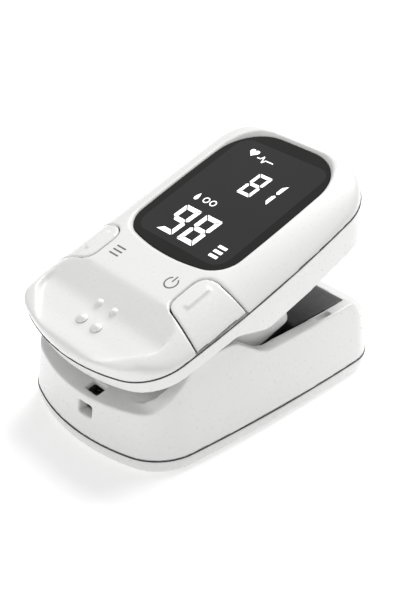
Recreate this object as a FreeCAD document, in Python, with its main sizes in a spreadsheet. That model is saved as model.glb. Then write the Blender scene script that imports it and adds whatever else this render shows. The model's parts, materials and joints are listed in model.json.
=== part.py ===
"""Fingertip pulse oximeter: a clip of two jaws on one hinge, with its battery, sensor and display pieces.

Frame: X is across the clip, Y runs along it with the finger end at +Y and the press end at -Y,
Z is up.  The origin lies on the resting plane under the middle of the base.  Every piece of the
upper jaw is drawn with the clip closed, and its Placement then turns it about the hinge axle.
"""
import FreeCAD
import Part
import Sketcher
import math
import os

V = FreeCAD.Vector

SIZES = [
    # base, outside
    ("base_length", 60.0, "base, press end to finger end"),
    ("base_width", 40.4, "base at the tray seam"),
    ("tray_height", 3.0, "height of the tray seam above the table"),
    ("seam", 0.15, "open line between two shells"),
    ("draft", 0.12, "inward lean of the base walls per mm of height"),
    ("base_wall", 2.3, "thickness of the base walls"),
    ("rim_height", 15.5, "top of the base beside the finger"),
    ("entry_height", 11.6, "top of the base end wall under the finger"),
    ("hump_height", 19.9, "top of the base beside the hinge"),
    ("press_rim", 10.9, "top of the base at the press end"),
    ("scoop_slope", 0.25, "rise of the scoop floor per mm towards the hinge"),
    ("scoop_end", -18.7, "where the scoop floor stops before the hinge"),
    ("floor_thick", 1.2, "thickness of the scoop floor"),
    ("tray_floor", 1.5, "thickness of the tray floor"),
    ("tray_round", 1.8, "rounding of the lower edge of the tray"),
    # jaw, outside
    ("jaw_length", 60.0, "upper jaw, press end to finger end"),
    ("jaw_width", 40.2, "upper jaw at its seam"),
    ("jaw_shift", 0.77, "how far the closed jaw sits towards the finger end"),
    ("jaw_seam", 23.3, "height of the jaw seam with the clip closed"),
    ("band_depth", 3.1, "depth of the jaw frame at the press end"),
    ("jaw_draft", 0.15, "inward lean of the jaw frame per mm downwards"),
    ("jaw_wall", 1.8, "thickness of the jaw frame"),
    ("cover_height", 4.5, "height of the top cover above its seam"),
    ("cover_wall", 1.3, "thickness of the top cover"),
    ("crown_flat", 10.0, "half width of the flat top of the cover"),
    ("crown_edge", 0.3, "height of the cover at its outer edge"),
    ("cover_round", 1.6, "rounding of the finger end of the cover"),
    ("nose_drop", 1.8, "how far the cover falls away at the press end"),
    ("recess_depth", 2.5, "depth of the thumb recess"),
    ("recess_width", 31.0, "width of the thumb recess"),
    # hinge
    ("hinge_y", -14.5, "hinge axis, along the clip"),
    ("hinge_z", 17.5, "hinge axis, height"),
    ("open_angle", 18.6, "how far the jaw stands open"),
    ("axle_diameter", 2.0, "hinge axle"),
    ("axle_clearance", 0.05, "radial clearance of the jaw on its axle"),
    ("axle_sink", 1.1, "how deep the axle enters each base wall"),
    ("ear_thick", 2.0, "thickness of a jaw ear"),
    ("ear_radius", 2.4, "rounding of a jaw ear about the axle"),
    ("ear_gap", 0.5, "gap between a jaw ear and the base wall"),
    ("jaw_gap", 0.3, "gap between the closed jaw and the base"),
    ("wire", 0.8, "wire of the torsion springs"),
    ("spring_diameter", 5.0, "mean diameter of the torsion springs"),
    ("spring_turns", 4.5, "turns of a torsion spring"),
    ("spring_place", 6.0, "inner end of each torsion spring from the middle"),
    # guide lugs of the jaw
    ("lug_width", 1.6, "thickness of a guide lug"),
    ("lug_front", -3.6, "front edge of a guide lug, clip closed"),
    ("lug_back", 6.2, "back edge of a guide lug, clip closed"),
    ("lug_bottom", 9.5, "lowest point of a guide lug, clip closed"),
    # display
    ("lens_width", 26.4, "display lens"),
    ("lens_near", -4.65, "edge of the lens towards the press end"),
    ("lens_far", 29.35, "edge of the lens towards the finger end"),
    ("lens_thick", 0.85, "display lens"),
    ("lens_sink", 0.8, "how deep the lens lies below the cover's top"),
    ("gasket", 0.15, "adhesive gasket under the lens"),
    ("ledge", 0.8, "thickness of the ledge that carries the lens"),
    ("ledge_width", 1.2, "width of the ledge that carries the lens"),
    ("fit", 0.1, "clearance round a fixed piece in its seat"),
    # buttons
    ("button_inner", 10.8, "inner edge of a button from the middle"),
    ("button_front", -13.4, "front of a button at its inner edge"),
    ("button_back", -4.4, "back of a button"),
    ("button_flare", 3.2, "how far the front edge slants towards the press end"),
    ("button_gap", 0.25, "open line round a button"),
    ("button_lift", 0.5, "gap under a button"),
    ("button_mark", 13.6, "centre of the button's ridge and switch from the middle"),
    ("ridge_length", 5.0, "ridge on a button"),
    ("ridge_width", 0.9, "ridge on a button"),
    ("ridge_height", 0.35, "ridge on a button"),
    ("switch_size", 3.0, "side of a tactile switch"),
    ("switch_gap", 0.4, "gap between a button stem and its switch"),
    # boards and what they carry
    ("board_thick", 0.8, "circuit boards"),
    ("board_width", 31.2, "main board"),
    ("board_near", -14.8, "end of the main board towards the press end"),
    ("board_far", 23.5, "end of the main board towards the finger end"),
    ("board_drop", 0.9, "underside of the main board below the jaw seam"),
    ("module_width", 22.6, "display module"),
    ("module_length", 29.0, "display module"),
    ("module_thick", 1.4, "display module"),
    ("buzzer_diameter", 8.0, "buzzer"),
    ("buzzer_thick", 1.6, "buzzer"),
    # finger pads
    ("pad_narrow", 26.8, "width of a pad beside the guide lugs"),
    ("lower_pad_width", 31.4, "lower pad at the finger end"),
    ("upper_pad_width", 33.6, "upper pad at the finger end"),
    ("pad_start", -8.0, "end of the pads towards the hinge"),
    ("pad_step", 8.3, "where the pads widen behind the guide lugs"),
    ("pad_plate", 0.65, "thickness of a pad plate"),
    ("lower_plate", 12.25, "underside of the lower pad plate"),
    ("lower_pad_top", 15.25, "top of the lower pad beside the finger"),
    ("lower_trough", 14.0, "bottom of the finger trough"),
    ("trough_radius", 55.0, "radius of the finger trough"),
    ("upper_arch", 4.3, "top of the finger arch below the jaw seam"),
    ("upper_pad_drop", 7.5, "lowest face of the upper pad below the jaw seam"),
    ("arch_radius", 18.8, "radius of the finger arch"),
    ("finger_spot", 9.0, "where light crosses the finger"),
    ("window_diameter", 5.0, "light windows"),
    # batteries
    ("cell_diameter", 10.4, "AAA cell"),
    ("cell_body", 43.7, "AAA cell without its button"),
    ("cell_button", 0.8, "button of an AAA cell"),
    ("cell_pitch", 11.2, "distance between the two cells"),
    ("cell_start", -20.0, "flat end of the cells"),
    ("cell_floor", 1.55, "lowest point of the cells"),
    ("contact_thick", 0.4, "contact plates"),
    ("contact_spring", 1.8, "contact springs, compressed"),
    # battery door
    ("door_width", 24.0, "battery door"),
    ("door_start", -24.3, "closed end of the battery door"),
    ("door_lift", 0.2, "battery door above the table"),
    ("door_top", 1.4, "upper face of the battery door"),
    ("tongue", 0.7, "width of the tongues of the battery door"),
    ("tongue_floor", 0.95, "underside of the tongues"),
    ("slide", 0.15, "clearance of the battery door"),
    # screws and the cord slot
    ("screw_diameter", 1.5, "case screws"),
    ("screw_head", 2.8, "case screws"),
    ("boss_diameter", 4.0, "screw bosses of the base"),
    ("boss_x", 15.3, "screw bosses from the middle"),
    ("slot_x", 3.2, "cord slot from the middle"),
    ("slot_width", 3.3, "cord slot"),
    ("slot_height", 2.4, "cord slot in the end wall"),
]

doc = FreeCAD.newDocument("pulse_oximeter")
sheet = doc.addObject("Spreadsheet::Sheet", "sizes")
for row, (alias, number, note) in enumerate(SIZES, start=1):
    sheet.set("A%d" % row, note)
    sheet.set("B%d" % row, str(number))
    sheet.setAlias("B%d" % row, alias)
doc.recompute()


def size(alias):
    """The value of a named size in the sheet."""
    return float(sheet.get(alias))


BASE = []
JAW = []


def keep(piece, name, side):
    """Names a finished piece and notes which jaw it belongs to."""
    piece.Label = name
    side.append(piece)
    return piece


# ---------------------------------------------------------------- outlines

def flat(z):
    """A point (a, b) as seen from above, at height z."""
    return lambda p: V(p.x, p.y, z)


def side_on(x):
    """A point (y, z) as seen from the side, at width x."""
    return lambda p: V(x, p.x, p.y)


def end_on(y):
    """A point (x, z) as seen from the end, at length y."""
    return lambda p: V(p.x, y, p.y)


def rounded_edges(corners, place):
    """Straight runs between corners (a, b, radius), joined by tangent arcs."""
    joints = []
    for i, (a, b, radius) in enumerate(corners):
        here = V(a, b, 0)
        before = (V(*corners[i - 1][:2], 0) - here).normalize()
        after = (V(*corners[(i + 1) % len(corners)][:2], 0) - here).normalize()
        if radius == 0:
            joints.append((here, here, here))
            continue
        half = before.getAngle(after) / 2
        middle = (before + after).normalize()
        reach = radius / math.tan(half)
        centre = here + middle * (radius / math.sin(half))
        joints.append((here + before * reach, centre - middle * radius, here + after * reach))
    edges = []
    for i, (start, bend, end) in enumerate(joints):
        if (end - start).Length > 1e-6:
            edges.append(Part.Arc(place(start), place(bend), place(end)))
        edges.append(Part.LineSegment(place(end), place(joints[(i + 1) % len(joints)][0])))
    return edges


def rounded_face(corners, place):
    """A face whose border is rounded_edges."""
    edges = [edge.toShape() for edge in rounded_edges(corners, place)]
    return Part.Face(Part.Wire(edges))


def tangent_corner(side_centre, side_reach, end_centre, end_reach, radius, far):
    """A corner circle that lies against a side arc and an end arc from inside."""
    gap = end_centre - side_centre
    along = (gap.Length ** 2 + (side_reach - radius) ** 2 - (end_reach - radius) ** 2) / (2 * gap.Length)
    off = math.sqrt((side_reach - radius) ** 2 - along ** 2)
    across = V(-gap.y, gap.x, 0).normalize()
    first = side_centre + gap.normalize() * along + across * off
    second = first - across * (2 * off)
    centre = first if (first.y > second.y) == far else second
    on_side = centre + (centre - side_centre).normalize() * radius
    on_end = centre + (centre - end_centre).normalize() * radius
    bend = centre + (on_side + on_end - centre * 2).normalize() * radius
    return on_side, bend, on_end


def case_wire(case, z, inset=0.0):
    """Border of a case seen from above: bowed sides and ends, and four round corners."""
    half, near, far, near_round, far_round, near_bow, far_bow, side_bow = case
    half, near, far = half - inset, near + inset, far - inset
    near_bow, far_bow, side_bow = near_bow - inset, far_bow - inset, side_bow - inset
    near_round, far_round = max(near_round - inset, 1.0), max(far_round - inset, 1.0)
    side_centre = V(half - side_bow, (near + far) / 2, 0)
    side, bend, end = tangent_corner(side_centre, side_bow, V(0, near + near_bow, 0), near_bow,
                                     near_round, False)
    far_side, far_bend, far_end = tangent_corner(side_centre, side_bow, V(0, far - far_bow, 0),
                                                 far_bow, far_round, True)

    def arc(first, middle, last):
        lift = V(0, 0, z)
        return Part.Arc(first + lift, middle + lift, last + lift).toShape()

    def other(p):
        return V(-p.x, p.y, 0)

    return Part.Wire([
        arc(other(end), V(0, near, 0), end),
        arc(end, bend, side),
        arc(side, V(half, (near + far) / 2, 0), far_side),
        arc(far_side, far_bend, far_end),
        arc(far_end, V(0, far, 0), other(far_end)),
        arc(other(far_end), other(far_bend), other(far_side)),
        arc(other(far_side), V(-half, (near + far) / 2, 0), other(side)),
        arc(other(side), other(bend), other(end)),
    ])


def case_block(case, low, high, inset_low=0.0, inset_high=None):
    """A solid between two borders of the same case."""
    if inset_high is None:
        return Part.Face(case_wire(case, low, inset_low)).extrude(V(0, 0, high - low))
    return Part.makeLoft([case_wire(case, low, inset_low), case_wire(case, high, inset_high)], True, True)


def block(x0, x1, y0, y1, z0, z1):
    """A plain block between two corners."""
    return Part.makeBox(x1 - x0, y1 - y0, z1 - z0, V(x0, y0, z0))


def mirrored(shape):
    """The same shape on the other side of the clip."""
    return shape.mirror(V(0, 0, 0), V(1, 0, 0))


def both(shape):
    """A shape together with its mirror image."""
    return shape.fuse(mirrored(shape))


def feature(shape, name, side):
    """A piece whose shape is worked out above."""
    piece = doc.addObject("Part::Feature", name)
    piece.Shape = shape.removeSplitter()
    return keep(piece, name, side)


HALF_LENGTH = size("base_length") / 2
BASE_CASE = (size("base_width") / 2, -HALF_LENGTH, HALF_LENGTH, 9.8, 7.8, 38.5, 500.0, 330.0)
JAW_NEAR = size("jaw_shift") - size("jaw_length") / 2
JAW_FAR = size("jaw_shift") + size("jaw_length") / 2
JAW_CASE = (size("jaw_width") / 2, JAW_NEAR, JAW_FAR, 9.5, 10.4, 41.7, 1000.0, 250.0)
LENS_CASE = (size("lens_width") / 2, size("lens_near"), size("lens_far"), 5.1, 9.0, 40.0, 500.0, 400.0)
WIDE = 2 * size("base_width")
LONG = 2 * size("base_length")


# ---------------------------------------------------------------- feature helpers

def new_body(name):
    """An empty PartDesign body."""
    return doc.addObject("PartDesign::Body", name)


def sketch_on(body, role, name, height):
    """A sketch on one of the body's own origin planes, lifted by an expression."""
    sketch = body.newObject("Sketcher::SketchObject", name)
    plane = [item for item in body.Origin.OriginFeatures if item.Role == role][0]
    sketch.AttachmentSupport = (plane, [""])
    sketch.MapMode = "FlatFace"
    sketch.setExpression("AttachmentOffset.Base.z", height)
    return sketch


def rectangle(sketch, width, length, x, y):
    """A rectangle whose size and centre are expressions."""
    corners = [V(-1, -1, 0), V(1, -1, 0), V(1, 1, 0), V(-1, 1, 0)]
    first = sketch.GeometryCount
    for i in range(4):
        sketch.addGeometry(Part.LineSegment(corners[i], corners[(i + 1) % 4]))
    for i in range(4):
        sketch.addConstraint(Sketcher.Constraint("Coincident", first + i, 2, first + (i + 1) % 4, 1))
    for i, way in enumerate(("Horizontal", "Vertical", "Horizontal", "Vertical")):
        sketch.addConstraint(Sketcher.Constraint(way, first + i))
    bound = [
        (Sketcher.Constraint("DistanceX", first, 1, first, 2, 2.0), width),
        (Sketcher.Constraint("DistanceY", first + 1, 1, first + 1, 2, 2.0), length),
        (Sketcher.Constraint("DistanceX", -1, 1, first, 1, -1.0), "%s - (%s) / 2" % (x, width)),
        (Sketcher.Constraint("DistanceY", -1, 1, first, 1, -1.0), "%s - (%s) / 2" % (y, length)),
    ]
    for constraint, expression in bound:
        index = sketch.addConstraint(constraint)
        sketch.setExpression("Constraints[%d]" % index, expression)


def circle(sketch, diameter, x, y):
    """A circle whose diameter and centre are expressions."""
    index = sketch.addGeometry(Part.Circle(V(1, 1, 0), V(0, 0, 1), 1))
    bound = [
        (Sketcher.Constraint("Diameter", index, 2.0), diameter),
        (Sketcher.Constraint("DistanceX", -1, 1, index, 3, 1.0), x),
        (Sketcher.Constraint("DistanceY", -1, 1, index, 3, 1.0), y),
    ]
    for constraint, expression in bound:
        number = sketch.addConstraint(constraint)
        sketch.setExpression("Constraints[%d]" % number, expression)


def pad(body, sketch, height):
    """Raises a sketch upwards by an expression."""
    raised = body.newObject("PartDesign::Pad", "raise_" + sketch.Name)
    raised.Profile = sketch
    raised.setExpression("Length", height)
    body.Tip = raised
    return raised


def pocket(body, sketch, depth):
    """Cuts a sketch downwards by an expression, and makes sure that it cut something."""
    doc.recompute()
    before = body.Shape.Volume
    cut = body.newObject("PartDesign::Pocket", "cut_" + sketch.Name)
    cut.Profile = sketch
    cut.setExpression("Length", depth)
    body.Tip = cut
    doc.recompute()
    if body.Shape.Volume > before - 1e-6:
        raise RuntimeError("%s cuts nothing" % sketch.Name)
    return cut


def slab(name, side, width, length, thick, x, y, z):
    """A rectangular piece; every argument is an expression."""
    body = new_body(name)
    sketch = sketch_on(body, "XY_Plane", name + "_outline", z)
    rectangle(sketch, width, length, x, y)
    pad(body, sketch, thick)
    return keep(body, name, side)


# ---------------------------------------------------------------- side profiles

def base_profile():
    """The top edge of the base, seen from the side, as (y, z, radius) from press end to finger end."""
    slope = size("scoop_slope")
    front = -HALF_LENGTH + 0.5
    hump_front = size("hinge_y") - 1.5
    foot = hump_front - 8.6
    top = size("hump_height")
    rim = size("rim_height")
    return [
        (front - 6, size("press_rim"), 0.0),
        (front, size("press_rim"), 0.0),
        (foot, size("press_rim") + slope * (foot - front), 3.0),
        (hump_front, top, 4.0),
        (size("hinge_y") + 6.5, top, 4.0),
        (size("hinge_y") + 13.0, rim, 5.0),
        (HALF_LENGTH - 7.7, rim, 1.0),
        (HALF_LENGTH - 5.0, size("entry_height"), 1.5),
        (HALF_LENGTH + 6, size("entry_height"), 0.0),
    ]


def jaw_profile():
    """The lower edge of the jaw frame's walls, seen from the side with the clip closed."""
    gap = size("jaw_gap")
    band = size("jaw_seam") - size("band_depth")
    return [
        (JAW_NEAR - 6, band, 0.0),
        (size("hinge_y") + 6.5 + gap, band, 4.0 - gap),
        (size("hinge_y") + 13.0 + gap, size("rim_height") + gap, 5.0 + gap),
        (JAW_FAR + 6, size("rim_height") + gap, 0.0),
    ]


def side_prism(corners, half_width):
    """A side profile carried across the clip."""
    return rounded_face(corners, side_on(-half_width)).extrude(V(2 * half_width, 0, 0))


# ---------------------------------------------------------------- base

def base_skin(inset, low, high):
    """The base walls between two heights, leaning inwards."""
    lean = size("draft")
    seam_height = size("tray_height")
    return case_block(BASE_CASE, low, high, inset + lean * (low - seam_height),
                      inset + lean * (high - seam_height))


def base_shell():
    """Open box with drafted walls, the sloping scoop floor, screw bosses, and sockets for the axle."""
    low = size("tray_height") + size("seam")
    high = size("hump_height") + 1
    wall = size("base_wall")
    outer = base_skin(0, low, high)
    inner = base_skin(wall, low, high)
    shell = outer.cut(inner)
    front = -HALF_LENGTH + 0.5
    slope = size("scoop_slope")
    end = size("scoop_end")

    def floor_line(y, drop=0.0):
        return (y, size("press_rim") + slope * (y - front) - drop, 0.0)

    drop = size("floor_thick")
    floor = side_prism([floor_line(front - 1, drop), floor_line(end, drop), floor_line(end),
                        floor_line(front - 1)], size("base_width"))
    shell = shell.fuse(outer.common(floor))
    above = base_profile() + [(LONG, high + 5, 0.0), (-LONG, high + 5, 0.0)]
    above[0] = (-LONG, above[0][1], 0.0)
    above[len(base_profile()) - 1] = (LONG, size("entry_height"), 0.0)
    shell = shell.cut(side_prism(above, size("base_width")))
    for y in BOSS_ROWS:
        shell = shell.fuse(both(base_boss(y)).common(outer))
    for y in BOSS_ROWS:
        hole = Part.makeCylinder(size("screw_diameter") / 2 + 0.05, SCREW_LENGTH + 1,
                                 V(size("boss_x"), y, size("tray_floor")))
        shell = shell.cut(both(hole))
    socket = Part.makeCylinder(size("axle_diameter") / 2, axle_length(),
                               V(-axle_length() / 2, size("hinge_y"), size("hinge_z")), V(1, 0, 0))
    shell = shell.cut(socket)
    shell = shell.cut(cord_slot())
    rim_slot = block(16.4, 17.6, 12.9, 16.3, size("rim_height") - 1.2, size("rim_height") + 1)
    return shell.cut(both(rim_slot))


BOSS_ROWS = (-16.0, 21.0)
SCREW_LENGTH = 6.0
BOSS_TOP = 9.0


def base_boss(y):
    """A screw boss on the right, tied to the wall by a rib."""
    x = size("boss_x")
    low = size("tray_floor") + 0.1
    post = Part.makeCylinder(size("boss_diameter") / 2, BOSS_TOP - low, V(x, y, low))
    rib = block(x, x + 4, y - 0.6, y + 0.6, size("tray_height") + 1, BOSS_TOP)
    return post.fuse(rib)


def wall_inside(y, z):
    """Half width of the base inside its bowed, leaning walls."""
    bow = y * y / (2 * BASE_CASE[7])
    return size("base_width") / 2 - bow - size("base_wall") - size("draft") * (z - size("tray_height"))


def axle_length():
    """The axle reaches a little way into both walls."""
    return 2 * (wall_inside(size("hinge_y"), size("hinge_z")) + size("axle_sink"))


def cord_slot():
    """A short channel from the end wall up through the scoop floor, for a neck cord."""
    x = size("slot_x")
    half = size("slot_width") / 2
    front = -HALF_LENGTH
    low = 7.1
    way_in = block(x - half, x + half, front - 2, front + 4.6, low, low + size("slot_height"))
    way_up = block(x - half, x + half, front + 2.4, front + 4.6, low, low + 8)
    return way_in.fuse(way_up)


def tray_skin():
    """The solid shape of the tray before it is hollowed, with a round lower edge."""
    solid = case_block(BASE_CASE, 0, size("tray_height"))
    bottom = [edge for edge in solid.Edges if edge.BoundBox.ZMax < 0.01]
    return solid.makeFillet(size("tray_round"), bottom)


def door_channel(spare):
    """Space of the battery door and its tongues, widened by a clearance."""
    half = size("door_width") / 2 + spare
    start = size("door_start") - spare
    low = block(-half, half, start, HALF_LENGTH + 2, -1, size("door_top") + spare)
    tongues = block(-half - size("tongue"), half + size("tongue"), start, HALF_LENGTH - 2.4 + 4 * spare,
                    size("tongue_floor") - spare, size("door_top") + spare)
    end_half = size("door_width") / 2 + spare
    end = block(-end_half, end_half, HALF_LENGTH - 2.4 - spare, HALF_LENGTH + 2, -1,
                size("tray_height") + 1)
    return low.fuse(tongues).fuse(end)


def bottom_tray():
    """Shallow tray that closes the base, open below for the battery door."""
    inner = Part.Face(case_wire(BASE_CASE, size("tray_floor"), size("base_wall"))).extrude(V(0, 0, 10))
    tray = tray_skin().cut(inner)
    rail_height = size("door_top") + size("slide") + 0.8
    rail = block(size("door_width") / 2 + size("slide"), size("door_width") / 2 + 1.0,
                 size("door_start") - 1, HALF_LENGTH - 2.5, size("door_top"), rail_height)
    tray = tray.fuse(both(rail))
    tray = tray.cut(door_channel(size("slide")))
    through = block(-size("door_width") / 2 - size("slide") - size("tongue"),
                    size("door_width") / 2 + size("slide") + size("tongue"),
                    size("door_start") - size("slide"), HALF_LENGTH + 2,
                    size("tongue_floor") - size("slide"), size("door_top") + size("slide"))
    tray = tray.cut(through)
    for y in BOSS_ROWS:
        x = size("boss_x")
        post = Part.makeCylinder(size("boss_diameter") / 2 + 0.15, 10, V(x, y, size("tray_floor")))
        head = Part.makeCylinder(size("screw_head") / 2 + 0.15, 0.8, V(x, y, 0))
        shaft = Part.makeCylinder(size("screw_diameter") / 2 + 0.15, 3, V(x, y, 0))
        tray = tray.cut(both(post.fuse(head).fuse(shaft)))
    return tray


def battery_door():
    """Door that slides off towards the finger end, with finger ridges cut across it."""
    door = tray_skin().common(door_channel(0))
    hollow = block(-WIDE, WIDE, -LONG, HALF_LENGTH - 2.4, size("door_top"), size("tray_height") + 2)
    door = door.cut(hollow)
    door = door.cut(block(-WIDE, WIDE, -LONG, LONG, -1, size("door_lift")))
    for i in range(5):
        y = HALF_LENGTH - 9.0 - 1.6 * i
        door = door.cut(block(-5.0, 5.0, y - 0.4, y + 0.4, 0, size("door_lift") + 0.3))
    return door


def base_screws():
    """Four screws that hold the tray to the base."""
    screws = []
    for y in BOSS_ROWS:
        for x in (-size("boss_x"), size("boss_x")):
            head = Part.makeCylinder(size("screw_head") / 2, 0.6, V(x, y, 0.2))
            shaft = Part.makeCylinder(size("screw_diameter") / 2, SCREW_LENGTH, V(x, y, 0.2))
            slot = block(x - 0.9, x + 0.9, y - 0.15, y + 0.15, 0, 0.45)
            cross = block(x - 0.15, x + 0.15, y - 0.9, y + 0.9, 0, 0.45)
            screws.append(head.fuse(shaft).cut(slot).cut(cross))
    return Part.Compound(screws)


def cell(name, side):
    """One AAA cell lying along the clip; side is -1 for left and 1 for right."""
    place = "%d * sizes.cell_pitch / 2" % side
    can = doc.addObject("Part::Cylinder", name + "_can")
    can.setExpression("Radius", "sizes.cell_diameter / 2")
    can.setExpression("Height", "sizes.cell_body")
    stud = doc.addObject("Part::Cylinder", name + "_button")
    stud.Radius = 1.9
    stud.setExpression("Height", "sizes.cell_button")
    for part, start in ((can, "0" if side > 0 else "sizes.cell_button"),
                        (stud, "sizes.cell_body" if side > 0 else "0")):
        part.Placement = FreeCAD.Placement(V(0, 0, 0), FreeCAD.Rotation(V(1, 0, 0), -90))
        part.setExpression("Placement.Base.x", place)
        part.setExpression("Placement.Base.y", "sizes.cell_start + " + start)
        part.setExpression("Placement.Base.z", "sizes.cell_floor + sizes.cell_diameter / 2")
    whole = doc.addObject("Part::Fuse", name)
    whole.Base = can
    whole.Tool = stud
    return keep(whole, name, BASE)


def coil(radius, wire, turns, pitch):
    """A helical wire about +Z, starting at z = 0."""
    path = Part.makeHelix(pitch, pitch * turns, radius)
    start = path.Edges[0].valueAt(path.Edges[0].FirstParameter)
    way = path.Edges[0].tangentAt(path.Edges[0].FirstParameter)
    ring = Part.Wire(Part.makeCircle(wire / 2, start, way))
    return Part.Wire(path.Edges).makePipeShell([ring], True, True)


def contact_springs():
    """Two bent leaf springs that press the flat ends of the cells, one at each end."""
    reach = size("contact_spring") - 0.1
    thick = 0.25
    springs = []
    for side, back, way in ((-1, CELL_END + size("contact_spring") - 0.05, -1),
                            (1, size("cell_start") - size("contact_spring") + 0.05, 1)):
        leaf = [(0, 3.0), (reach, 0.6), (reach, -0.6), (0, -3.0), (0, -2.5),
                (reach - thick, -0.4), (reach - thick, 0.4), (0, 2.5)]
        corners = [(back + way * y, CELL_MIDDLE + z, 0.0) for y, z in leaf]
        spring = side_prism(corners, 1.5)
        spring.translate(V(side * size("cell_pitch") / 2, 0, 0))
        springs.append(spring)
    return Part.Compound(springs)


CELL_END = size("cell_start") + size("cell_body") + size("cell_button")
CELL_MIDDLE = size("cell_floor") + size("cell_diameter") / 2


def stud_contact(side, start):
    """A small boss on a plate that touches the button of a cell."""
    x = side * size("cell_pitch") / 2
    return Part.makeCylinder(1.4, size("contact_spring") - 0.05, V(x, start, CELL_MIDDLE), V(0, 1, 0))


def contact_plates():
    """Flat contacts behind the cells at the press end; the left one meets a cell's button."""
    back = size("cell_start") - size("contact_spring")
    thick = size("contact_thick")
    plates = []
    for side in (-1, 1):
        x = side * size("cell_pitch") / 2
        plates.append(block(x - 4, x + 4, back - thick, back, CELL_MIDDLE - 4, CELL_MIDDLE + 3.4))
    plates[0] = plates[0].fuse(stud_contact(-1, back))
    return Part.Compound(plates)


def bridge_contact():
    """The contact at the finger end joins the two cells."""
    half = size("cell_pitch") / 2 + 3.5
    back = CELL_END + size("contact_spring")
    thick = size("contact_thick")
    bridge = block(-half, half, back, back + thick, CELL_MIDDLE - 4, CELL_MIDDLE + 3.4)
    return bridge.fuse(stud_contact(1, CELL_END + 0.05))


# ---------------------------------------------------------------- lower finger pad

def pad_outline(half_narrow, half_wide, end, corner, z):
    """A pad seen from above: narrow beside the guide lugs, wide at the finger end."""
    step = size("pad_step")
    start = size("pad_start")
    return rounded_face([
        (half_narrow, start, 1.5), (half_narrow, step, 0.5), (half_wide, step, 1.0), (half_wide, end, corner),
        (-half_wide, end, corner), (-half_wide, step, 1.0), (-half_narrow, step, 0.5), (-half_narrow, start, 1.5),
    ], flat(z))


LOWER_END = (HALF_LENGTH - size("base_wall") - size("fit")
             - size("draft") * (size("lower_pad_top") - size("tray_height")))
UPPER_END = JAW_FAR - size("jaw_wall") - size("fit") - size("jaw_draft") * size("upper_pad_drop")


PLATE_END = CELL_END - 2.0


def lower_pad_frame():
    """Plate that carries the lower pad over the cells, open for the sensor board."""
    low = size("lower_plate")
    plate = pad_outline(size("pad_narrow") / 2, size("lower_pad_width") / 2, PLATE_END, 4.5, low)
    plate = plate.extrude(V(0, 0, size("pad_plate")))
    spot = size("finger_spot")
    return plate.cut(block(-BOARD_HALF_X, BOARD_HALF_X, spot - BOARD_HALF_Y, spot + BOARD_HALF_Y,
                           low - 1, low + 2))


BOARD_HALF_X = 6.2
BOARD_HALF_Y = 4.2


LIP = 2.2


def lower_pad():
    """Soft pad with a shallow finger trough that slopes down at the finger end."""
    low = size("lower_plate") + size("pad_plate")
    over_cell = size("cell_floor") + size("cell_diameter") + 0.15
    top = size("lower_pad_top")
    whole = pad_outline(size("pad_narrow") / 2, size("lower_pad_width") / 2, LOWER_END, 6.0, low - 2 * LIP)
    whole = whole.extrude(V(0, 0, top - low + 3 * LIP))
    side = side_prism([
        (size("pad_start") - 1, low, 0.0), (PLATE_END + 0.1, low, 0.0), (PLATE_END + 0.1, over_cell, 0.0),
        (CELL_END + 0.2, over_cell, 0.0), (CELL_END + 0.2, low - LIP, 0.0),
        (LOWER_END + 1, low - LIP, 0.0), (LOWER_END + 1, size("entry_height"), 0.0),
        (LOWER_END - 0.2, size("entry_height") + 0.2, 1.0), (LOWER_END - 4.2, top, 2.0),
        (size("pad_start") - 1, top, 0.0),
    ], WIDE)
    body = whole.common(side)
    radius = size("trough_radius")
    trough = Part.makeCylinder(radius, 2 * LONG, V(0, -LONG, size("lower_trough") + radius), V(0, 1, 0))
    hole = Part.makeCylinder(size("window_diameter") / 2 + size("fit"), 10,
                             V(0, size("finger_spot"), low - 5))
    return body.cut(trough).cut(hole)


# ---------------------------------------------------------------- hinge

def torsion_spring(side):
    """A torsion spring round the axle: one leg on the scoop floor, one under the jaw."""
    wire = size("wire")
    turns = size("spring_turns")
    pitch = wire + 0.1
    radius = size("spring_diameter") / 2
    spring = coil(radius, wire, turns, pitch)
    spring.rotate(V(0, 0, 0), V(0, 1, 0), 90)
    spring.translate(V(size("spring_place"), size("hinge_y"), size("hinge_z")))
    far = size("spring_place") + pitch * turns
    up_leg = leg(size("spring_place"), radius, -1, 1)
    down_leg = leg(far, radius, 1, -1)
    whole = spring.fuse(up_leg).fuse(down_leg)
    return mirrored(whole) if side < 0 else whole


def leg(x, radius, start_side, tilt):
    """A straight spring leg that leaves the coil on a tangent towards the press end."""
    start = V(x, size("hinge_y"), size("hinge_z") + tilt * radius)
    way = V(0, -math.cos(math.radians(LEG_TILT[tilt])), math.sin(math.radians(LEG_TILT[tilt])))
    return Part.makeCylinder(size("wire") / 2, LEG_LENGTH, start, way)


LEG_TILT = {1: -24.0, -1: -8.0}
LEG_LENGTH = 6.5


def hinge_axle():
    """Steel axle held in both walls of the base."""
    return Part.makeCylinder(size("axle_diameter") / 2, axle_length() - 0.1,
                             V(-axle_length() / 2 + 0.05, size("hinge_y"), size("hinge_z")), V(1, 0, 0))


# ---------------------------------------------------------------- jaw frame

JAW_SEAM = size("jaw_seam")
BAND = JAW_SEAM - size("band_depth")


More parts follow.
